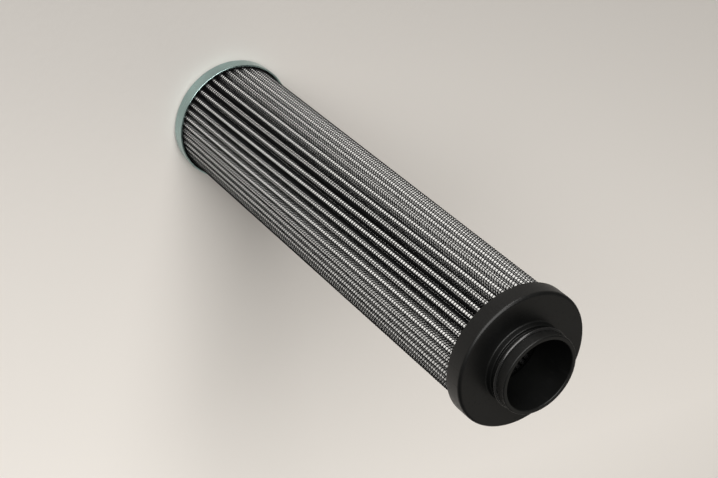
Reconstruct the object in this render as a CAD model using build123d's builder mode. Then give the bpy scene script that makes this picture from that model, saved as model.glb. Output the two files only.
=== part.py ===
"""Pleated hydraulic filter element.

A pack of pleated wire cloth and glass-fibre medium stands round a slotted support core. The pack is
bonded with adhesive into a pressed steel cap at its closed end and into a moulded cap at its outlet
end. The moulded cap carries a spigot with a seal ring. The element stands on its closed end:
Z is its axis, and the origin is the centre of the face that it stands on. Sizes are millimetres.
"""

import os
from math import acos, atan2, cos, degrees, hypot, radians, sin, tan

from build123d import *

# Outlet cap, moulded
body_height = 199.0
cap_diameter = 52.0
cap_skirt_height = 7.3
cap_skirt_wall = 1.5
cap_face_thickness = 2.5
cap_edge_radius = 1.3
cap_mouth_chamfer = 0.4
cap_inside_chamfer = 0.5

# Spigot of the outlet cap
bore_diameter = 26.8
bore_chamfer = 0.4
spigot_wall = 1.7
spigot_length = 9.3
spigot_tip_radius = 0.5
collar_height = 2.3
collar_edge_chamfer = 0.3
collar_root_chamfer = 0.6
sleeve_length = 6.0
sleeve_wall = 1.3

# Seal ring and its groove
seal_cord_diameter = 1.5
groove_depth = 1.0
groove_width = 3.2
seal_end_gap = 0.15

# Closed end cap, pressed from sheet
end_cap_step = 0.8
end_cap_height = 6.2
end_cap_sheet = 0.7
end_cap_edge_radius = 1.4
recess_depth = 2.5
recess_edge_chamfer = 0.6
press_inside_chamfer = 0.5

# Support core
core_wall = 1.2
core_columns = 8
core_rows = 12
core_rib_width = 3.0
core_ring_height = 3.6
core_end_ring_height = 8.0

# Pleated pack, from the upstream side to the downstream side
pleat_count = 45
upstream_mesh_thickness = 0.30
medium_thickness = 0.40
downstream_mesh_thickness = 0.20
fold_radius = 0.06
seam_angle = 90.0

# Clip that closes the pack's seam
clip_sheet = 0.4
clip_share_of_pleat = 0.46

# Adhesive
adhesive_bed_thickness = 2.0
adhesive_below_mouth = 0.5

# Clearances
ply_clearance = 0.02
seat_clearance = 0.02
core_clearance = 0.1
pack_clearance = 0.6
clip_clearance = 0.05

# Levels along the axis
element_height = body_height + spigot_length
cap_mouth_level = body_height - cap_skirt_height
cap_floor_level = body_height - cap_face_thickness
pack_bottom = end_cap_sheet + adhesive_bed_thickness
pack_top = cap_floor_level - adhesive_bed_thickness
pack_height = pack_top - pack_bottom
groove_bottom_level = body_height + collar_height
groove_top_level = groove_bottom_level + groove_width

# Radii that follow from what fits in what
cap_radius = cap_diameter / 2
cap_inner_radius = cap_radius - cap_skirt_wall
bore_radius = bore_diameter / 2
spigot_radius = bore_radius + spigot_wall
groove_floor_radius = spigot_radius - groove_depth
sleeve_radius = bore_radius + sleeve_wall
core_inner_radius = sleeve_radius + core_clearance
core_radius = core_inner_radius + core_wall
end_cap_radius = cap_radius - end_cap_step
end_cap_inner_radius = end_cap_radius - end_cap_sheet
boss_radius = core_inner_radius - core_clearance
recess_radius = boss_radius - end_cap_sheet
pack_radius = cap_inner_radius - pack_clearance
pack_inner_radius = core_radius + core_clearance

# Pleat geometry: every face of every ply is an offset of one fold line
pack_thickness = (
    upstream_mesh_thickness + medium_thickness + downstream_mesh_thickness + 2 * ply_clearance
)
fold_outer_radius = fold_radius + pack_thickness
tip_centre_radius = pack_radius - fold_outer_radius
root_centre_radius = pack_inner_radius + fold_outer_radius
pleat_angle = 360 / pleat_count
tip_centre = Vector(tip_centre_radius, 0)
root_centre = Vector(root_centre_radius, 0).rotate(Axis.Z, pleat_angle / 2)
tip_to_root = root_centre - tip_centre
flank_normal_angle = degrees(
    atan2(tip_to_root.Y, tip_to_root.X)
    - acos((fold_radius + fold_outer_radius) / hypot(tip_to_root.X, tip_to_root.Y))
)
flank_normal = Vector(1, 0).rotate(Axis.Z, flank_normal_angle)


def corners(section, *points):
    """The corners of a half section that stand at the given (radius, level) points."""
    return [
        corner
        for corner in section.vertices()
        if any(hypot(corner.X - radius, corner.Y - level) < 1e-4 for radius, level in points)
    ]


def ply_side(height_in_pack, round_tips):
    """Draws one side of one ply from seam end to seam end, and returns those two ends.

    height_in_pack is the distance from the pack's downstream face to this side.
    """
    tip_radius = fold_radius + height_in_pack
    root_radius = fold_outer_radius - height_in_pack
    tip_edge = tip_centre + flank_normal * tip_radius
    root_edge = root_centre - flank_normal * root_radius
    tip_top = Vector(tip_centre_radius + tip_radius, 0)
    root_bottom = Vector(root_centre_radius - root_radius, 0)
    ends = []
    for pleat in range(pleat_count):
        tip_angle = seam_angle + pleat * pleat_angle
        root_angle = tip_angle + pleat_angle / 2
        next_tip_angle = tip_angle + pleat_angle
        leaving_tip = tip_edge.rotate(Axis.Z, tip_angle)
        entering_root = root_edge.rotate(Axis.Z, tip_angle)
        root_fold = root_bottom.rotate(Axis.Z, root_angle)
        leaving_root = Vector(root_edge.X, -root_edge.Y).rotate(Axis.Z, next_tip_angle)
        entering_tip = Vector(tip_edge.X, -tip_edge.Y).rotate(Axis.Z, next_tip_angle)
        Polyline(leaving_tip, entering_root, root_fold, leaving_root, entering_tip)
        if pleat == 0:
            ends.append(leaving_tip)
        if pleat == pleat_count - 1:
            ends.append(entering_tip)
            break
        tip_fold = tip_top.rotate(Axis.Z, next_tip_angle)
        next_leaving_tip = tip_edge.rotate(Axis.Z, next_tip_angle)
        if round_tips:
            ThreePointArc(entering_tip, tip_fold, next_leaving_tip)
        else:
            Polyline(entering_tip, tip_fold, next_leaving_tip)
    return ends


def pleated_ply(downstream_side, upstream_side, round_tips):
    """One ply of the pack: a folded sheet with two free edges at the seam."""
    with BuildPart() as ply:
        with BuildSketch(Plane.XY.offset(pack_bottom)):
            with BuildLine():
                first_in, last_in = ply_side(downstream_side, round_tips)
                first_out, last_out = ply_side(upstream_side, round_tips)
                Line(first_in, first_out)
                Line(last_in, last_out)
            make_face()
        extrude(amount=pack_height)
    return ply


def adhesive_bed(bed_level, bed_height, lip_level, outer_radius):
    """Adhesive under the pack's end, with a thin lip that rises between the pack and the cap's skirt."""
    inner = core_radius + seat_clearance
    outer = outer_radius - seat_clearance
    lip_inner = pack_radius + seat_clearance
    with BuildPart() as bed:
        with BuildSketch(Plane.XZ):
            with BuildLine():
                Polyline(
                    (inner, bed_level),
                    (outer, bed_level),
                    (outer, lip_level),
                    (lip_inner, lip_level),
                    (lip_inner, bed_level + bed_height),
                    (inner, bed_level + bed_height),
                    close=True,
                )
            make_face()
        revolve(axis=Axis.Z)
    return bed


# Outlet cap: skirt, face, collar, grooved spigot and the sleeve that centres the core
with BuildPart() as outlet_cap:
    with BuildSketch(Plane.XZ) as cap_section:
        with BuildLine():
            Polyline(
                (bore_radius, cap_floor_level - sleeve_length),
                (bore_radius, element_height),
                (spigot_radius, element_height),
                (spigot_radius, groove_top_level),
                (groove_floor_radius, groove_top_level),
                (groove_floor_radius, groove_bottom_level),
                (spigot_radius, groove_bottom_level),
                (spigot_radius, body_height),
                (cap_radius, body_height),
                (cap_radius, cap_mouth_level),
                (cap_inner_radius, cap_mouth_level),
                (cap_inner_radius, cap_floor_level),
                (sleeve_radius, cap_floor_level),
                (sleeve_radius, cap_floor_level - sleeve_length),
                close=True,
            )
        make_face()
        chamfer(corners(cap_section, (bore_radius, element_height)), bore_chamfer)
        chamfer(corners(cap_section, (spigot_radius, groove_bottom_level)), collar_edge_chamfer)
        chamfer(corners(cap_section, (spigot_radius, body_height)), collar_root_chamfer)
        chamfer(corners(cap_section, (cap_radius, cap_mouth_level)), cap_mouth_chamfer)
        chamfer(corners(cap_section, (cap_inner_radius, cap_floor_level)), cap_inside_chamfer)
        fillet(corners(cap_section, (spigot_radius, element_height)), spigot_tip_radius)
        fillet(corners(cap_section, (cap_radius, body_height)), cap_edge_radius)
    revolve(axis=Axis.Z)

# Seal ring, seated on the groove's floor and close to its outer wall
with BuildPart() as seal_ring:
    with BuildSketch(Plane.XZ):
        with Locations(
            (
                groove_floor_radius + seat_clearance + seal_cord_diameter / 2,
                groove_top_level - seal_end_gap - seal_cord_diameter / 2,
            )
        ):
            Circle(seal_cord_diameter / 2)
    revolve(axis=Axis.Z)

# Closed end cap: a pressed cup whose raised centre fits inside the core
with BuildPart() as closed_end_cap:
    with BuildSketch(Plane.XZ) as end_cap_section:
        with BuildLine():
            Polyline(
                (0, recess_depth),
                (recess_radius, recess_depth),
                (recess_radius, 0),
                (end_cap_radius, 0),
                (end_cap_radius, end_cap_height),
                (end_cap_inner_radius, end_cap_height),
                (end_cap_inner_radius, end_cap_sheet),
                (boss_radius, end_cap_sheet),
                (boss_radius, recess_depth + end_cap_sheet),
                (0, recess_depth + end_cap_sheet),
                close=True,
            )
        make_face()
        fillet(corners(end_cap_section, (end_cap_radius, 0)), end_cap_edge_radius)
        chamfer(
            corners(end_cap_section, (recess_radius, 0), (boss_radius, recess_depth + end_cap_sheet)),
            recess_edge_chamfer,
        )
        chamfer(
            corners(end_cap_section, (end_cap_inner_radius, end_cap_sheet), (recess_radius, recess_depth)),
            press_inside_chamfer,
        )
    revolve(axis=Axis.Z)

# Support core: a tube with rows of windows between its rings and ribs
core_bottom = end_cap_sheet + seat_clearance
core_height = cap_floor_level - seat_clearance - core_bottom
window_pitch = (core_height - 2 * core_end_ring_height + core_ring_height) / core_rows
window_height = window_pitch - core_ring_height
window_width = 2 * core_radius * sin(radians(180 / core_columns)) - core_rib_width
first_window_level = core_bottom + core_end_ring_height + window_height / 2
with BuildPart() as support_core:
    with BuildSketch(Plane.XY.offset(core_bottom)):
        Circle(core_radius)
        Circle(core_inner_radius, mode=Mode.SUBTRACT)
    extrude(amount=core_height)
    with Locations([(0, 0, first_window_level + row * window_pitch) for row in range(core_rows)]):
        with PolarLocations(core_inner_radius + core_wall / 2, core_columns):
            Box(4 * core_wall, window_width, window_height, mode=Mode.SUBTRACT)

# Pack: three plies folded together
medium_side = downstream_mesh_thickness + ply_clearance
upstream_mesh_side = medium_side + medium_thickness + ply_clearance
downstream_mesh = pleated_ply(0, downstream_mesh_thickness, round_tips=False)
filter_medium = pleated_ply(medium_side, medium_side + medium_thickness, round_tips=False)
upstream_mesh = pleated_ply(upstream_mesh_side, pack_thickness, round_tips=True)

# Seam clip: a channel pressed over the pack's two free edges
flank_lean = radians(90 - flank_normal_angle)
clip_top_radius = pack_radius * cos(radians(pleat_angle / 4))
clip_depth = clip_share_of_pleat * (pack_radius - pack_inner_radius)
clip_inner_width = 2 * (fold_outer_radius + clip_depth * tan(flank_lean) + clip_clearance)
clip_width = clip_inner_width + 2 * clip_sheet
with BuildPart() as seam_clip:
    with BuildSketch(Plane.XY.offset(pack_bottom)):
        with PolarLocations(clip_top_radius - clip_depth / 2, 1, start_angle=seam_angle):
            RectangleRounded(clip_depth, clip_width, clip_sheet)
        with PolarLocations(clip_top_radius - clip_sheet - clip_depth / 2, 1, start_angle=seam_angle):
            Rectangle(clip_depth, clip_inner_width, mode=Mode.SUBTRACT)
    extrude(amount=pack_height)

# Adhesive at both ends
closed_end_adhesive = adhesive_bed(
    end_cap_sheet + seat_clearance,
    adhesive_bed_thickness - 2 * seat_clearance,
    end_cap_height - adhesive_below_mouth,
    end_cap_inner_radius - press_inside_chamfer,
)
outlet_adhesive = adhesive_bed(
    cap_floor_level - seat_clearance,
    2 * seat_clearance - adhesive_bed_thickness,
    cap_mouth_level + adhesive_below_mouth,
    cap_inner_radius - cap_inside_chamfer,
)

nodes = {
    "outlet_cap": outlet_cap,
    "outlet_seal_ring": seal_ring,
    "closed_end_cap": closed_end_cap,
    "support_core": support_core,
    "upstream_mesh": upstream_mesh,
    "filter_medium": filter_medium,
    "downstream_mesh": downstream_mesh,
    "seam_clip": seam_clip,
    "outlet_adhesive": outlet_adhesive,
    "closed_end_adhesive": closed_end_adhesive,
}
os.makedirs("parts", exist_ok=True)
for name, piece in nodes.items():
    piece.part.label = name
    export_step(piece.part, f"parts/{name}.step")
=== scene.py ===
"""Finish for the pleated filter element.

Lays wire cloth over the pleated medium wire by wire, turns smooth caps and a smooth seal ring over the plain
ones, gives every piece its material and lights the element on a pale floor. It is laid out as an
add-on with one operator for each piece or group of pieces. Geometry is in metres.
"""

import math

import bpy
import numpy as np
from mathutils import Matrix, Vector


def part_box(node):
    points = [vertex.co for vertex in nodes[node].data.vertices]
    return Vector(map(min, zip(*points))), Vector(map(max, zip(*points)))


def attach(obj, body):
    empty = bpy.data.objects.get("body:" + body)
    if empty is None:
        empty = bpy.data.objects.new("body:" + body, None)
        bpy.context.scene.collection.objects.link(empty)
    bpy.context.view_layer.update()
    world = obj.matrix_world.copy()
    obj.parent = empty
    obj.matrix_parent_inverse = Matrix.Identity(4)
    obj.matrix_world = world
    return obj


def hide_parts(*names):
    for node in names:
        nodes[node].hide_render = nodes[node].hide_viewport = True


bl_info = {
    "name": "Pleated filter element finish",
    "version": (1, 0, 0),
    "blender": (4, 5, 0),
    "location": "View3D > Sidebar > Filter element",
    "description": "Builds the wire cloth, turned caps, seal ring, materials and stage of a filter element",
    "category": "Object",
}

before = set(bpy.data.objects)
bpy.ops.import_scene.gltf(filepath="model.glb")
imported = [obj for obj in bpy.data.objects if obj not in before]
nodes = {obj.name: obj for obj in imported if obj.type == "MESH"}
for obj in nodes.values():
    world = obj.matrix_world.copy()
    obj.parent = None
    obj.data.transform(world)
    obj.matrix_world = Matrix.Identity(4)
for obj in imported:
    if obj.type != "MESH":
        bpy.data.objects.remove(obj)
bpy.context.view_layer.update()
MM = 0.001
UNEVENNESS_SEED = 11
POST_ROWS = 13
SHEET_ROWS = 25


# ---------------------------------------------------------------- settings


def size_property(name, description, millimetres):
    """A length that the user can change, given in millimetres."""
    return bpy.props.FloatProperty(
        name=name, description=description, default=millimetres * MM, subtype="DISTANCE"
    )


def angle_property(name, description, degrees):
    """An angle that the user can change, given in degrees."""
    return bpy.props.FloatProperty(
        name=name, description=description, default=math.radians(degrees), subtype="ANGLE"
    )


def colour_property(name, colour):
    """A colour that the user can change."""
    return bpy.props.FloatVectorProperty(
        name=name, description=name + " in linear light", default=colour, subtype="COLOR", min=0, max=1
    )


class PackSettings(bpy.types.PropertyGroup):
    """The pleats and the wire cloth over them."""

    pleats: bpy.props.IntProperty(name="Pleats", description="Folds round the pack", default=45, min=3)
    seam_angle: angle_property("Seam angle", "Where the pack's seam stands", 90)
    thickness: size_property("Thickness", "All plies together", 0.94)
    fold_radius: size_property("Fold radius", "Inside radius of each fold", 0.06)
    lean_angle: angle_property("Lean", "How far the most leaning tips wander between the two ends", 8)
    lean_centre: angle_property("Lean centre", "Where the pleats lean most", -83)
    lean_width: angle_property("Lean width", "How wide the leaning part is", 54)
    opening_angle: angle_property("Opening", "How far the pleats part at the outlet, on each side", 2.6)
    opening_centre: angle_property("Opening centre", "Where the pleats part", -90)
    opening_width: angle_property("Opening width", "How wide the parted zone is", 70)
    root_share: bpy.props.FloatProperty(
        name="Root share",
        description="Lean of the roots against that of the tips",
        default=0.85,
        min=0,
        max=1,
    )
    unevenness: angle_property("Unevenness", "Largest random shift of a tip", 0.12)
    wire_pitch: size_property("Wire pitch", "Middle to middle of two wires", 1.27)
    hoop_diameter: size_property("Hoop diameter", "Coated wires that run round", 0.47)
    post_diameter: size_property("Post diameter", "Coated wires that run up", 0.38)


class CapSettings(bpy.types.PropertyGroup):
    """The outlet cap and the closed end cap."""

    spigot_height: size_property("Spigot height", "From the outlet cap's face to the spigot's end", 9.3)
    spigot_radius: size_property("Spigot radius", "Outside of the spigot", 15.1)
    bore_radius: size_property("Bore radius", "Inside of the spigot and the sleeve", 13.4)
    sleeve_radius: size_property("Sleeve radius", "Outside of the sleeve in the core", 14.7)
    groove_height: size_property("Groove height", "Along the spigot", 3.2)
    groove_depth: size_property("Groove depth", "Into the spigot", 1.0)
    ring_clearance: size_property("Ring clearance", "Above the seal ring in its groove", 0.15)
    skirt_height: size_property("Skirt height", "From the outlet cap's face to its rim", 7.3)
    skirt_wall: size_property("Skirt wall", "Thickness of the outlet cap's skirt", 1.5)
    face_thickness: size_property("Face thickness", "Thickness of the outlet cap's face", 2.5)
    edge_radius: size_property("Edge radius", "Rounding of the outlet cap's outer edge", 1.3)
    sheet: size_property("Sheet", "Thickness of the closed end cap's sheet", 0.7)
    boss_radius: size_property("Boss radius", "Outside of the closed end cap's raised centre", 14.7)
    boss_rise: size_property("Boss rise", "Height of the hollow under the raised centre", 2.5)
    flat_radius: size_property("Flat radius", "The small flat that closes the turned sheet", 0.5)


class TurningSettings(bpy.types.PropertyGroup):
    """The turned pieces: caps and seal ring."""

    steps: bpy.props.IntProperty(
        name="Steps", description="Edges round a turned piece", default=160, min=16
    )
    corner_steps: bpy.props.IntProperty(
        name="Corner steps", description="Edges round a rounded corner", default=6, min=1
    )


class FinishSettings(bpy.types.PropertyGroup):
    """The colours of the element and the floor."""

    plastic_color: colour_property("Plastic colour", (0.0028, 0.0029, 0.0028))
    zinc_color: colour_property("Zinc colour", (0.335, 0.445, 0.440))
    rubber_color: colour_property("Rubber colour", (0.0065, 0.0065, 0.0065))
    wire_color: colour_property("Wire colour", (0.012, 0.012, 0.0125))
    medium_color: colour_property("Medium colour", (0.51, 0.51, 0.50))
    adhesive_color: colour_property("Adhesive colour", (0.009, 0.009, 0.009))
    clip_color: colour_property("Clip colour", (0.47, 0.475, 0.47))
    floor_color: colour_property("Floor colour", (0.888, 0.850, 0.807))


class StageSettings(bpy.types.PropertyGroup):
    """Floor, light and camera."""

    floor_size: bpy.props.FloatProperty(
        name="Floor size", description="Side of the floor", default=8.0, subtype="DISTANCE"
    )
    floor_drop: size_property("Floor drop", "How far the floor lies below the element's foot", 0.2)
    # Painted shade on the floor: its colour grades from dark to pale along this angle, between start and
    # end.
    painted_shade_angle: angle_property("Grade angle", "The way the floor gets paler", 45.7)
    painted_shade_start: bpy.props.FloatProperty(
        name="Grade start", description="Where the floor is darkest", default=-0.102, subtype="DISTANCE"
    )
    painted_shade_end: bpy.props.FloatProperty(
        name="Grade end", description="Where the floor is palest", default=0.235, subtype="DISTANCE"
    )
    painted_shade_dark: bpy.props.FloatProperty(
        name="Grade dark", description="The darkest part against the palest", default=0.43, min=0, max=1
    )
    camera_place: bpy.props.FloatVectorProperty(
        name="Camera place",
        description="Where the camera stands",
        default=(0.0366, -0.4353, 0.5329),
        subtype="XYZ",
    )
    camera_forward: bpy.props.FloatVectorProperty(
        name="Camera forward", description="Where the camera looks", default=(-0.0532, 0.7120, -0.7002)
    )
    camera_up: bpy.props.FloatVectorProperty(
        name="Camera up", description="The camera's upward direction", default=(-0.7283, -0.5075, -0.4606)
    )
    camera_lens: bpy.props.FloatProperty(name="Lens", description="Focal length in mm", default=82.75)
    key_power: bpy.props.FloatProperty(
        name="Key light", description="Power of the main light", default=47.0
    )
    low_power: bpy.props.FloatProperty(
        name="Low light", description="Power of the low light that shows round sides", default=5.0
    )
    bounce_power: bpy.props.FloatProperty(
        name="Bounce light", description="Power of the soft light from the far side", default=2.4
    )
    fill_strength: bpy.props.FloatProperty(
        name="Fill", description="Brightness of the surroundings", default=0.09
    )


# ---------------------------------------------------------------- modelling helpers


def start_clean():
    """Object mode with nothing selected."""
    if bpy.context.object is not None and bpy.context.object.mode != "OBJECT":
        bpy.ops.object.mode_set(mode="OBJECT")
    bpy.ops.object.select_all(action="DESELECT")


def apply_modifier(piece, kind, **values):
    """Adds a modifier to the active piece and applies it."""
    modifier = piece.modifiers.new(kind.title(), kind)
    for key, value in values.items():
        setattr(modifier, key, value)
    bpy.ops.object.modifier_apply(modifier=modifier.name)


def round_corners(profile, steps, closed):
    """Replaces each (radius, level, rounding) corner of a profile by the points of its arc."""
    points = []
    count = len(profile)
    for index, (radius, level, rounding) in enumerate(profile):
        here = Vector((radius, level))
        ends = index in (0, count - 1) and not closed
        if rounding == 0 or ends:
            points.append(here)
            continue
        back = (Vector(profile[index - 1][:2]) - here).normalized()
        ahead = (Vector(profile[(index + 1) % count][:2]) - here).normalized()
        half = back.angle(ahead) / 2
        centre = here + (back + ahead).normalized() * (rounding / math.sin(half))
        start = here + back * (rounding / math.tan(half)) - centre
        sweep = start.angle_signed(here + ahead * (rounding / math.tan(half)) - centre)
        for step in range(steps + 1):
            turn = Matrix.Rotation(-sweep * step / steps, 2)
            points.append(centre + turn @ start)
    return points


def turned(name, profile, closed=True):
    """Turns a profile of (radius, level, rounding) corners round Z, ring by ring."""
    settings = bpy.context.scene.filter_turning
    points = round_corners(profile, settings.corner_steps, closed)
    if closed:
        points.append(points[0])
    start_clean()
    radius, level = points[0]
    bpy.ops.mesh.primitive_circle_add(
        vertices=settings.steps,
        radius=radius,
        fill_type="NOTHING" if closed else "NGON",
        location=(0, 0, level),
    )
    piece = bpy.context.object
    piece.name = name
    piece.data.name = name
    bpy.ops.object.transform_apply(location=True, rotation=False, scale=False)
    bpy.ops.object.mode_set(mode="EDIT")
    bpy.ops.mesh.select_mode(type="EDGE")
    bpy.ops.mesh.select_all(action="SELECT")
    for next_radius, next_level in points[1:]:
        bpy.ops.mesh.extrude_edges_move(TRANSFORM_OT_translate={"value": (0, 0, next_level - level)})
        scale = next_radius / radius
        bpy.ops.transform.resize(value=(scale, scale, 1), center_override=(0, 0, next_level))
        radius, level = next_radius, next_level
    if not closed:
        bpy.ops.mesh.edge_face_add()
    bpy.ops.mesh.select_all(action="SELECT")
    bpy.ops.mesh.remove_doubles(threshold=1e-6)
    bpy.ops.mesh.normals_make_consistent(inside=False)
    bpy.ops.object.mode_set(mode="OBJECT")
    bpy.ops.object.shade_smooth_by_angle(angle=math.radians(40))
    apply_modifier(piece, "WEIGHTED_NORMAL", keep_sharp=True)
    return piece


def finish_piece(piece, node, material):
    """Gives a new piece its material and its body, and hides the node that it stands for."""
    piece.data.materials.clear()
    piece.data.materials.append(material)
    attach(piece, "root")
    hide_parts(node)


def finish_node(node, material):
    """Gives one of the frame's own nodes its material."""
    for slot in nodes[node].material_slots:
        slot.material = material


def mesh_piece(name, points, faces):
    """A smooth-shaded piece from points and faces."""
    mesh = bpy.data.meshes.new(name)
    mesh.from_pydata(points, [], faces)
    mesh.validate()
    mesh.shade_smooth()
    piece = bpy.data.objects.new(name, mesh)
    bpy.context.scene.collection.objects.link(piece)
    return piece


# ---------------------------------------------------------------- pleats


def wrap(angle):
    """An angle between minus and plus half a turn."""
    return (angle + math.pi) % (2 * math.pi) - math.pi


def at_angle(angles):
    """Points of the unit circle at these angles."""
    return np.stack([np.cos(angles), np.sin(angles)], -1)


def fold_lines(levels, height_in_pack, tip_steps, root_steps):
    """The line of a folded sheet at each level, from seam end to seam end: (levels, points, 2)."""
    pack = bpy.context.scene.filter_pack
    low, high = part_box("upstream_mesh")
    outside_radius = max(high.x, -low.x)
    core_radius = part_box("support_core")[1].x
    outer = pack.fold_radius + pack.thickness
    tip_allowance = 0.01 * MM
    core_clearance = 0.1 * MM
    tip_circle = outside_radius - outer + tip_allowance
    root_circle = core_radius + core_clearance + outer
    tip_radius = pack.fold_radius + height_in_pack
    root_radius = outer - height_in_pack

    step = 2 * math.pi / pack.pleats
    tip_angles = pack.seam_angle + step * np.arange(pack.pleats + 1)
    root_angles = tip_angles[:-1] + step / 2
    rng = np.random.default_rng(UNEVENNESS_SEED)
    shift = rng.uniform(-1, 1, pack.pleats + 1) * pack.unevenness
    shift[0] = shift[-1] = 0
    fall = ((high.z - levels) / (high.z - low.z))[:, None]
    # The lean grows from the outlet to the closed end, a quarter of it evenly and the rest in a soft S.
    grow = 0.25 * fall + 0.75 * fall * fall * (3 - 2 * fall)

    def leaning(angles):
        away = wrap(angles - pack.lean_centre) / pack.lean_width
        return grow * pack.lean_angle * np.exp(-away * away)

    def opening(angles):
        away = wrap(angles - pack.opening_centre) / pack.opening_width
        # The square root makes the largest shift at the outlet equal to the opening angle.
        return (1 - fall) ** 2 * pack.opening_angle * math.sqrt(2 * math.e) * away * np.exp(-away * away)

    tips = tip_angles + leaning(tip_angles) + opening(tip_angles) + shift
    roots = root_angles + leaning(root_angles) * pack.root_share + opening(root_angles)
    roots = roots + (shift[:-1] + shift[1:]) / 4
    tip_centres = tip_circle * at_angle(tips)
    root_centres = root_circle * at_angle(roots)

    def flank_normals(from_tips, side):
        span = root_centres - from_tips
        reach = np.arccos((pack.fold_radius + outer) / np.hypot(span[..., 0], span[..., 1]))
        return np.arctan2(span[..., 1], span[..., 0]) - side * reach

    leaving = flank_normals(tip_centres[:, :-1], 1)
    entering = flank_normals(tip_centres[:, 1:], -1)

    def arc(centres, middle, start, end, radius, steps):
        first = middle + wrap(start - middle)
        last = middle + wrap(end - middle)
        share = np.linspace(0, 1, steps + 1)
        angles = first[..., None] + (last - first)[..., None] * share
        return centres[..., None, :] + radius * at_angle(angles)

    tip_arcs = arc(
        tip_centres[:, 1:-1], tips[:, 1:-1], entering[:, :-1], leaving[:, 1:], tip_radius, tip_steps
    )
    root_arcs = arc(
        root_centres, roots + math.pi, leaving + math.pi, entering + math.pi, root_radius, root_steps
    )
    first_end = tip_centres[:, 0] + tip_radius * at_angle(leaving[:, 0])
    last_end = tip_centres[:, -1] + tip_radius * at_angle(entering[:, -1])

    parts = [first_end[:, None]]
    for pleat in range(pack.pleats):
        parts.append(root_arcs[:, pleat])
        if pleat < pack.pleats - 1:
            parts.append(tip_arcs[:, pleat])
    parts.append(last_end[:, None])
    return np.concatenate(parts, axis=1)


def tubes(lines, radius, reference):
    """Three-sided tubes along lines of shape (tubes, points, 3); reference is a direction across them."""
    along = np.gradient(lines, axis=1)
    along /= np.linalg.norm(along, axis=-1, keepdims=True)
    across = np.cross(along, reference)
    across /= np.linalg.norm(across, axis=-1, keepdims=True)
    upright = np.cross(across, along)
    rings = []
    for corner in range(3):
        angle = 2 * math.pi * corner / 3
        rings.append(lines + radius * (math.cos(angle) * across + math.sin(angle) * upright))
    points = np.stack(rings, axis=2)
    count, length = lines.shape[:2]
    index = np.arange(count * length * 3).reshape(count, length, 3)
    faces = []
    for corner in range(3):
        other = (corner + 1) % 3
        quads = np.stack(
            [index[:, :-1, corner], index[:, 1:, corner], index[:, 1:, other], index[:, :-1, other]], -1
        )
        faces.append(quads.reshape(-1, 4))
    ends = np.concatenate([index[:, 0, :], index[:, -1, ::-1]])
    return points.reshape(-1, 3), np.concatenate(faces).tolist() + ends.tolist()


def with_levels(lines, levels):
    """Adds each level's height to its line's points."""
    heights = np.broadcast_to(levels[:, None, None], lines.shape[:2] + (1,))
    return np.concatenate([lines, heights], axis=-1)


# ---------------------------------------------------------------- shader nodes


def add_node(tree, kind, inputs, **settings):
    """Adds a node with its settings, and links or sets each of its inputs."""
    node = tree.nodes.new(kind)
    for key, value in settings.items():
        setattr(node, key, value)
    for key, value in inputs.items():
        if isinstance(value, bpy.types.NodeSocket):
            tree.links.new(value, node.inputs[key])
        else:
            node.inputs[key].default_value = value
    return node


def spread(tree, value, low, high, start=0.3, end=0.7):
    """Maps a value's range from start to end to the range from low to high."""
    inputs = {"Value": value, "From Min": start, "From Max": end, "To Min": low, "To Max": high}
    return add_node(tree, "ShaderNodeMapRange", inputs).outputs["Result"]


def between(tree, value, first, second):
    """A colour between two colours by a value."""
    inputs = {"Factor": value, "A": first, "B": second}
    return add_node(tree, "ShaderNodeMix", inputs, data_type="RGBA").outputs["Result"]


def noise(tree, place, scale, detail):
    """A noise value over a place, with scale in waves per metre."""
    inputs = {"Vector": place, "Scale": scale, "Detail": detail, "Roughness": 0.55}
    return add_node(tree, "ShaderNodeTexNoise", inputs).outputs["Fac"]


def node_group(name, inputs, outputs, fill):
    """The shader node group of this name, filled when it is first asked for."""
    if name in bpy.data.node_groups:
        return bpy.data.node_groups[name]
    tree = bpy.data.node_groups.new(name, "ShaderNodeTree")
    for in_out, sockets in (("INPUT", inputs), ("OUTPUT", outputs)):
        for socket, kind in sockets.items():
            tree.interface.new_socket(socket, in_out=in_out, socket_type="NodeSocket" + kind)
    given = tree.nodes.new("NodeGroupInput").outputs
    results = tree.nodes.new("NodeGroupOutput").inputs
    for socket, value in fill(tree, given).items():
        tree.links.new(value, results[socket])
    return tree


def soft_wander():
    """Node group: a colour and a roughness that wander softly between two values each."""

    def fill(tree, given):
        share = spread(tree, noise(tree, given["Place"], given["Scale"], 3.0), 0, 1)
        return {
            "Color": between(tree, share, given["First Color"], given["Second Color"]),
            "Roughness": spread(tree, share, given["Low Roughness"], given["High Roughness"], 0, 1),
        }

    inputs = {
        "Place": "Vector",
        "Scale": "Float",
        "First Color": "Color",
        "Second Color": "Color",
        "Low Roughness": "Float",
        "High Roughness": "Float",
    }
    return node_group("soft_wander", inputs, {"Color": "Color", "Roughness": "Float"}, fill)


def fine_scratches():
    """Node group: a roughness that rises along sparse fine scratches."""

    def fill(tree, given):
        drawn = add_node(
            tree, "ShaderNodeVectorMath", {0: given["Place"], 1: given["Waves"]}, operation="MULTIPLY"
        )
        lines = spread(tree, noise(tree, drawn.outputs["Vector"], 1.0, 2.0), 0, given["Rise"], 0.60, 0.68)
        raised = add_node(tree, "ShaderNodeMath", {0: given["Roughness"], 1: lines}, operation="ADD")
        return {"Roughness": raised.outputs["Value"]}

    inputs = {"Place": "Vector", "Waves": "Vector", "Rise": "Float", "Roughness": "Float"}
    return node_group("fine_scratches", inputs, {"Roughness": "Float"}, fill)


def fine_grain():
    """Node group: the height of a fine surface grain."""

    def fill(tree, given):
        return {"Height": noise(tree, given["Place"], given["Scale"], 2.0)}

    return node_group("fine_grain", {"Place": "Vector", "Scale": "Float"}, {"Height": "Float"}, fill)


# ---------------------------------------------------------------- materials


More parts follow.
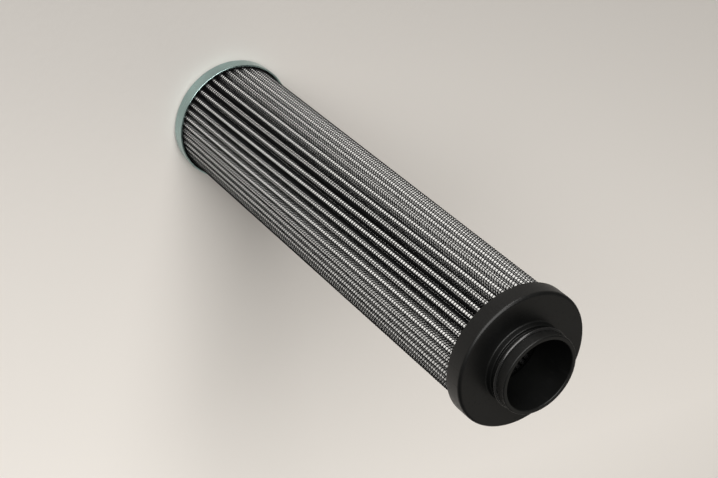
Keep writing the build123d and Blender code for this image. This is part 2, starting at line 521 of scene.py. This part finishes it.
def new_material(name):
    """A material with its node tree, its Principled shader and its Object coordinates."""
    material = bpy.data.materials.new(name)
    material.use_nodes = True
    tree = material.node_tree
    place = tree.nodes.new("ShaderNodeTexCoord").outputs["Object"]
    return material, tree, tree.nodes["Principled BSDF"], place


def bump(tree, shader, height, distance):
    """A bump of a height value on the shader's normal."""
    node = add_node(tree, "ShaderNodeBump", {"Height": height, "Distance": distance, "Strength": 1.0})
    tree.links.new(node.outputs["Normal"], shader.inputs["Normal"])


def shade(colour, factor):
    """A colour made lighter or darker, with its alpha."""
    return (*(part * factor for part in colour), 1.0)


def varied_material(name, colour, variation, roughness, scale, grain, depth, scratches=None, **constants):
    """A material whose colour and roughness wander softly, with a fine grain and perhaps scratches.

    Scale and grain are waves per metre, and depth is the grain's height.
    """
    material, tree, shader, place = new_material(name)
    wander = add_node(tree, "ShaderNodeGroup", {}, node_tree=soft_wander())
    tree.links.new(place, wander.inputs["Place"])
    wander.inputs["Scale"].default_value = scale
    wander.inputs["First Color"].default_value = shade(colour, 1 - variation)
    wander.inputs["Second Color"].default_value = shade(colour, 1 + variation)
    wander.inputs["Low Roughness"].default_value = roughness[0]
    wander.inputs["High Roughness"].default_value = roughness[1]
    tree.links.new(wander.outputs["Color"], shader.inputs["Base Color"])
    rough = wander.outputs["Roughness"]
    if scratches:
        inputs = {"Place": place, "Waves": scratches, "Rise": 0.12, "Roughness": rough}
        rough = add_node(tree, "ShaderNodeGroup", inputs, node_tree=fine_scratches()).outputs["Roughness"]
    tree.links.new(rough, shader.inputs["Roughness"])
    grains = add_node(tree, "ShaderNodeGroup", {"Place": place, "Scale": grain}, node_tree=fine_grain())
    bump(tree, shader, grains.outputs["Height"], depth)
    for key, value in constants.items():
        shader.inputs[key.replace("_", " ")].default_value = value
    return material


def moulded_material():
    """Black moulded plastic with a satin skin."""
    return varied_material(
        "moulded_plastic",
        bpy.context.scene.filter_finish.plastic_color,
        variation=0.20,
        roughness=(0.36, 0.44),
        scale=60,
        grain=5200,
        depth=0.012 * MM,
        scratches=(900, 900, 160),
        Specular_IOR_Level=0.24,
    )


def core_material():
    """Black glass-filled plastic of the support core, duller than the cap."""
    return varied_material(
        "filled_plastic",
        bpy.context.scene.filter_finish.plastic_color,
        variation=0.30,
        roughness=(0.55, 0.65),
        scale=120,
        grain=3500,
        depth=0.02 * MM,
        Specular_IOR_Level=0.12,
    )


def zinc_material():
    """Bright zinc plate with a blue-green passivate."""
    return varied_material(
        "passivated_zinc",
        bpy.context.scene.filter_finish.zinc_color,
        variation=0.12,
        roughness=(0.16, 0.24),
        scale=70,
        grain=900,
        depth=0.006 * MM,
        scratches=(90, 90, 2200),
        Metallic=1.0,
    )


def rubber_material():
    """Smooth, slightly oiled black rubber."""
    return varied_material(
        "seal_rubber",
        bpy.context.scene.filter_finish.rubber_color,
        variation=0.23,
        roughness=(0.18, 0.28),
        scale=90,
        grain=3000,
        depth=0.004 * MM,
    )


def wire_material():
    """Black epoxy coating on wire."""
    return varied_material(
        "coated_wire",
        bpy.context.scene.filter_finish.wire_color,
        variation=0.28,
        roughness=(0.70, 0.80),
        scale=300,
        grain=4000,
        depth=0.01 * MM,
        Specular_IOR_Level=0.1,
    )


def medium_material():
    """White glass-fibre medium with a soft felted face."""
    return varied_material(
        "glass_fibre",
        bpy.context.scene.filter_finish.medium_color,
        variation=0.05,
        roughness=(0.85, 0.95),
        scale=400,
        grain=6000,
        depth=0.05 * MM,
    )


def adhesive_material():
    """Black cured adhesive, glossy where it has flowed."""
    return varied_material(
        "cured_adhesive",
        bpy.context.scene.filter_finish.adhesive_color,
        variation=0.33,
        roughness=(0.25, 0.40),
        scale=200,
        grain=500,
        depth=0.05 * MM,
    )


def clip_material():
    """Plain zinc-plated strip."""
    return varied_material(
        "plated_strip",
        bpy.context.scene.filter_finish.clip_color,
        variation=0.10,
        roughness=(0.28, 0.40),
        scale=90,
        grain=1500,
        depth=0.01 * MM,
        scratches=(700, 700, 60),
        Metallic=1.0,
    )


def woven_material():
    """Black wire cloth shown on a sheet: square openings between crossing wires, painted near-black as shade
    where the pale medium behind them would show.
    """
    material, tree, shader, _ = new_material("woven_cloth")
    pack = bpy.context.scene.filter_pack
    half_wire = pack.post_diameter / pack.wire_pitch / 2
    uv = tree.nodes.new("ShaderNodeUVMap")
    uv.uv_map = "cloth"
    parts = add_node(tree, "ShaderNodeSeparateXYZ", {"Vector": uv.outputs["UV"]}).outputs
    rounds = []
    for axis in ("X", "Y"):
        wave = add_node(tree, "ShaderNodeMath", {0: parts[axis], 1: 0.5}, operation="PINGPONG")
        rounds.append(spread(tree, wave.outputs["Value"], 1, 0, 0.0, half_wire * 1.6))
    either = add_node(tree, "ShaderNodeMath", {0: rounds[0], 1: rounds[1]}, operation="MAXIMUM")
    wires = either.outputs["Value"]
    # Painted shade: the openings are near-black, standing in for the shade over the pale medium behind the
    # cloth.
    painted_shade_opening_colour = (0.025, 0.025, 0.024, 1)
    wire_colour = shade(bpy.context.scene.filter_finish.wire_color, 1.4)
    colour = between(tree, spread(tree, wires, 0, 1, 0.1, 0.3), painted_shade_opening_colour, wire_colour)
    tree.links.new(colour, shader.inputs["Base Color"])
    shader.inputs["Roughness"].default_value = 0.8
    shader.inputs["Specular IOR Level"].default_value = 0.1
    bump(tree, shader, wires, 0.15 * MM)
    return material


def floor_material():
    """Pale paper with painted shade: its colour darkens softly towards the side the main light comes from.
    """
    material, tree, shader, place = new_material("pale_floor")
    stage = bpy.context.scene.filter_stage
    colour = bpy.context.scene.filter_finish.floor_color
    brighter_way = (math.cos(stage.painted_shade_angle), math.sin(stage.painted_shade_angle), 0)
    way = add_node(tree, "ShaderNodeVectorMath", {0: place, 1: brighter_way}, operation="DOT_PRODUCT")
    share = spread(tree, way.outputs["Value"], 0, 1, stage.painted_shade_start, stage.painted_shade_end)
    # Painted shade: the floor's colour is darkened towards one side.
    painted_shade_colour = between(tree, share, shade(colour, stage.painted_shade_dark), shade(colour, 1))
    tree.links.new(painted_shade_colour, shader.inputs["Base Color"])
    shader.inputs["Roughness"].default_value = 0.7
    grains = add_node(tree, "ShaderNodeGroup", {"Place": place, "Scale": 300}, node_tree=fine_grain())
    bump(tree, shader, grains.outputs["Height"], 0.05 * MM)
    return material


# ---------------------------------------------------------------- operators


class FILTER_OT_wire_cloth(bpy.types.Operator):
    """Lay the upstream cloth's hoops and posts along the pleats, crossing without a weave"""

    bl_idname = "filter_element.wire_cloth"
    bl_label = "Wire cloth"

    def execute(self, context):
        pack = context.scene.filter_pack
        low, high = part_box("upstream_mesh")
        material = wire_material()

        radius = pack.hoop_diameter / 2
        height = pack.thickness - radius
        count = int((high.z - low.z - pack.hoop_diameter) / pack.wire_pitch)
        margin = (high.z - low.z - count * pack.wire_pitch) / 2
        levels = low.z + margin + pack.wire_pitch * np.arange(count + 1)
        hoops = with_levels(fold_lines(levels, height, tip_steps=5, root_steps=2), levels)
        middle = len(levels) // 2
        for name, part in (("hoop_wires_low", hoops[:middle]), ("hoop_wires_high", hoops[middle:])):
            piece = mesh_piece(name, *tubes(part, radius, np.array([0.0, 0.0, 1.0])))
            finish_piece(piece, "upstream_mesh", material)

        radius = pack.post_diameter / 2
        levels = np.linspace(low.z, high.z, POST_ROWS)
        lines = fold_lines(levels, height - radius / 3, tip_steps=12, root_steps=12)
        first = lines[-1]
        lengths = np.concatenate([[0], np.cumsum(np.linalg.norm(np.diff(first, axis=0), axis=-1))])
        stations = np.arange(radius * 2, lengths[-1] - radius * 2, pack.wire_pitch)
        before = np.searchsorted(lengths, stations, side="right") - 1
        share = ((stations - lengths[before]) / (lengths[before + 1] - lengths[before]))[None, :, None]
        chosen = lines[:, before] * (1 - share) + lines[:, before + 1] * share
        posts = np.swapaxes(with_levels(chosen, levels), 0, 1)
        piece = mesh_piece("post_wires", *tubes(posts, radius, np.array([0.6, 0.8, 0.0])))
        finish_piece(piece, "upstream_mesh", material)
        return {"FINISHED"}


class FILTER_OT_pleated_sheets(bpy.types.Operator):
    """Fold the medium and the downstream cloth along the same pleats as the wires"""

    bl_idname = "filter_element.pleated_sheets"
    bl_label = "Medium and downstream cloth"

    def execute(self, context):
        self.sheet("medium_sheet", "filter_medium", 0.23 * MM, 0.60 * MM, medium_material())
        self.sheet("downstream_cloth", "downstream_mesh", 0.02 * MM, 0.20 * MM, woven_material())
        return {"FINISHED"}

    def sheet(self, name, node, low_side, high_side, material):
        """One folded sheet with both of its faces and its rim."""
        pitch = bpy.context.scene.filter_pack.wire_pitch
        low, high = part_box(node)
        levels = np.linspace(low.z, high.z, SHEET_ROWS)
        inner = with_levels(fold_lines(levels, low_side, tip_steps=6, root_steps=6), levels)
        outer = with_levels(fold_lines(levels, high_side, tip_steps=6, root_steps=6), levels)
        rows, columns = inner.shape[:2]
        points = np.concatenate([outer.reshape(-1, 3), inner.reshape(-1, 3)])
        grid = np.arange(rows * columns).reshape(rows, columns)
        front = np.stack([grid[:-1, :-1], grid[:-1, 1:], grid[1:, 1:], grid[1:, :-1]], -1).reshape(-1, 4)
        back = front[:, ::-1] + rows * columns
        rim = np.concatenate([grid[0], grid[1:, -1], grid[-1, -2::-1], grid[-2:0:-1, 0]])
        following = np.roll(rim, -1)
        edge = np.stack([rim, rim + rows * columns, following + rows * columns, following], -1)
        piece = mesh_piece(name, points, np.concatenate([front, back, edge]).tolist())
        run = np.linalg.norm(np.diff(outer[-1], axis=0), axis=-1)
        across = np.concatenate([[0], np.cumsum(run)]) / pitch
        up = levels / pitch
        flat = np.stack(np.broadcast_arrays(across[None, :], up[:, None]), -1).reshape(-1, 2)
        flat = np.concatenate([flat, flat])
        layer = piece.data.uv_layers.new(name="cloth")
        corners = np.zeros(len(piece.data.loops), dtype=np.int32)
        piece.data.loops.foreach_get("vertex_index", corners)
        layer.data.foreach_set("uv", flat[corners].ravel().astype(np.float32))
        finish_piece(piece, node, material)


class FILTER_OT_outlet_cap(bpy.types.Operator):
    """Turn the moulded outlet cap with its spigot and seal groove"""

    bl_idname = "filter_element.outlet_cap"
    bl_label = "Outlet cap"

    def execute(self, context):
        caps = context.scene.filter_caps
        low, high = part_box("outlet_cap")
        bore = caps.bore_radius
        spigot = caps.spigot_radius
        face = high.z - caps.spigot_height
        rim = face - caps.skirt_height
        ceiling = face - caps.face_thickness
        groove_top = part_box("outlet_seal_ring")[1].z + caps.ring_clearance
        groove_bottom = groove_top - caps.groove_height
        groove_floor = spigot - caps.groove_depth
        profile = [
            (bore, low.z, 0),
            (bore, high.z, 0.45 * MM),
            (spigot, high.z, 0.5 * MM),
            (spigot, groove_top, 0.12 * MM),
            (groove_floor, groove_top, 0.15 * MM),
            (groove_floor, groove_bottom, 0.15 * MM),
            (spigot, groove_bottom, 0.3 * MM),
            (spigot, face, 0.5 * MM),
            (high.x, face, caps.edge_radius),
            (high.x, rim, 0.4 * MM),
            (high.x - caps.skirt_wall, rim, 0.3 * MM),
            (high.x - caps.skirt_wall, ceiling, 0.5 * MM),
            (caps.sleeve_radius, ceiling, 0),
            (caps.sleeve_radius, low.z, 0),
        ]
        piece = turned("turned_outlet_cap", profile)
        finish_piece(piece, "outlet_cap", moulded_material())
        return {"FINISHED"}


class FILTER_OT_seal_ring(bpy.types.Operator):
    """Make the seal ring as a smooth torus in the spigot's groove"""

    bl_idname = "filter_element.seal_ring"
    bl_label = "Seal ring"

    def execute(self, context):
        low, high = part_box("outlet_seal_ring")
        cord = (high.z - low.z) / 2
        start_clean()
        bpy.ops.mesh.primitive_torus_add(
            location=(0, 0, (low.z + high.z) / 2),
            major_segments=context.scene.filter_turning.steps,
            minor_segments=20,
            major_radius=high.x - cord,
            minor_radius=cord,
        )
        piece = context.object
        piece.name = "round_seal_ring"
        bpy.ops.object.transform_apply(location=True, rotation=False, scale=False)
        bpy.ops.object.shade_smooth()
        finish_piece(piece, "outlet_seal_ring", rubber_material())
        return {"FINISHED"}


class FILTER_OT_closed_end_cap(bpy.types.Operator):
    """Turn the pressed closed end cap with its raised centre"""

    bl_idname = "filter_element.closed_end_cap"
    bl_label = "Closed end cap"

    def execute(self, context):
        caps = context.scene.filter_caps
        low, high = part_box("closed_end_cap")
        sheet = caps.sheet
        boss = caps.boss_radius
        rise = caps.boss_rise
        profile = [
            (caps.flat_radius, rise, 0),
            (boss - sheet, rise, 0.5 * MM),
            (boss - sheet, low.z, 0.8 * MM),
            (high.x, low.z, 1.4 * MM),
            (high.x, high.z, 0.2 * MM),
            (high.x - sheet, high.z, 0.2 * MM),
            (high.x - sheet, sheet, 0.6 * MM),
            (boss, sheet, 0.2 * MM),
            (boss, rise + sheet, 0.8 * MM),
            (caps.flat_radius, rise + sheet, 0),
        ]
        piece = turned("pressed_closed_end_cap", profile, closed=False)
        finish_piece(piece, "closed_end_cap", zinc_material())
        return {"FINISHED"}


class FILTER_OT_inner_pieces(bpy.types.Operator):
    """Give the core, the seam clip and the adhesive their materials"""

    bl_idname = "filter_element.inner_pieces"
    bl_label = "Core, clip and adhesive"

    def execute(self, context):
        finish_node("support_core", core_material())
        finish_node("seam_clip", clip_material())
        adhesive = adhesive_material()
        finish_node("outlet_adhesive", adhesive)
        finish_node("closed_end_adhesive", adhesive)
        return {"FINISHED"}


class FILTER_OT_stage(bpy.types.Operator):
    """Add the floor, the lights and the camera"""

    bl_idname = "filter_element.stage"
    bl_label = "Stage"

    def execute(self, context):
        settings = context.scene.filter_stage
        scene = context.scene
        start_clean()
        bpy.ops.mesh.primitive_plane_add(size=settings.floor_size, location=(0, 0, -settings.floor_drop))
        floor = context.object
        floor.name = "floor"
        floor.data.materials.append(floor_material())

        middle = Vector((0, 0, 0.1))
        daylight = (1.0, 0.985, 0.96)
        warm_light = (1.0, 0.94, 0.84)
        lights = (
            ("key_light", (-0.20, -1.15, 1.05), 1.5, settings.key_power, daylight),
            ("low_light", (-0.75, -0.85, 0.18), 0.4, settings.low_power, daylight),
            ("bounce_light", (0.00, 0.85, 1.05), 1.3, settings.bounce_power, warm_light),
        )
        for name, place, size, power, colour in lights:
            bpy.ops.object.light_add(type="AREA", location=place)
            light = context.object
            light.name = name
            light.data.size = size
            light.data.energy = power
            light.data.color = colour
            light.rotation_euler = (middle - Vector(place)).to_track_quat("-Z", "Y").to_euler()

        world = scene.world or bpy.data.worlds.new("surroundings")
        scene.world = world
        world.use_nodes = True
        background = world.node_tree.nodes["Background"]
        background.inputs["Color"].default_value = (*daylight, 1.0)
        background.inputs["Strength"].default_value = settings.fill_strength

        bpy.ops.object.camera_add(location=settings.camera_place)
        camera = context.object
        forward = Vector(settings.camera_forward).normalized()
        right = forward.cross(Vector(settings.camera_up)).normalized()
        up = right.cross(forward)
        camera.rotation_euler = Matrix((right, up, -forward)).transposed().to_euler()
        camera.data.lens = settings.camera_lens
        camera.data.sensor_width = 36
        camera.data.clip_start = 0.01
        scene.camera = camera
        scene.view_settings.view_transform = "Standard"
        return {"FINISHED"}


class FILTER_PT_panel(bpy.types.Panel):
    """The operators and settings in the sidebar"""

    bl_idname = "FILTER_PT_panel"
    bl_label = "Filter element"
    bl_space_type = "VIEW_3D"
    bl_region_type = "UI"
    bl_category = "Filter element"

    def draw(self, context):
        for operator in OPERATORS:
            self.layout.operator(operator.bl_idname)
        for name, kind in GROUPS.items():
            box = self.layout.box()
            for key in kind.__annotations__:
                box.prop(getattr(context.scene, name), key)


OPERATORS = (
    FILTER_OT_wire_cloth,
    FILTER_OT_pleated_sheets,
    FILTER_OT_outlet_cap,
    FILTER_OT_seal_ring,
    FILTER_OT_closed_end_cap,
    FILTER_OT_inner_pieces,
    FILTER_OT_stage,
)
GROUPS = {
    "filter_pack": PackSettings,
    "filter_caps": CapSettings,
    "filter_turning": TurningSettings,
    "filter_finish": FinishSettings,
    "filter_stage": StageSettings,
}


def register():
    """Registers the settings, operators and panel."""
    for group in GROUPS.values():
        bpy.utils.register_class(group)
    for operator in OPERATORS:
        bpy.utils.register_class(operator)
    bpy.utils.register_class(FILTER_PT_panel)
    for key, group in GROUPS.items():
        setattr(bpy.types.Scene, key, bpy.props.PointerProperty(type=group))


def unregister():
    """Removes what register added."""
    for key in GROUPS:
        delattr(bpy.types.Scene, key)
    bpy.utils.unregister_class(FILTER_PT_panel)
    for operator in reversed(OPERATORS):
        bpy.utils.unregister_class(operator)
    for group in reversed(tuple(GROUPS.values())):
        bpy.utils.unregister_class(group)


def main():
    """Builds everything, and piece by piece."""
    register()
    bpy.ops.filter_element.wire_cloth()
    bpy.ops.filter_element.pleated_sheets()
    bpy.ops.filter_element.outlet_cap()
    bpy.ops.filter_element.seal_ring()
    bpy.ops.filter_element.closed_end_cap()
    bpy.ops.filter_element.inner_pieces()
    bpy.ops.filter_element.stage()


if __name__ == "__main__":
    main()
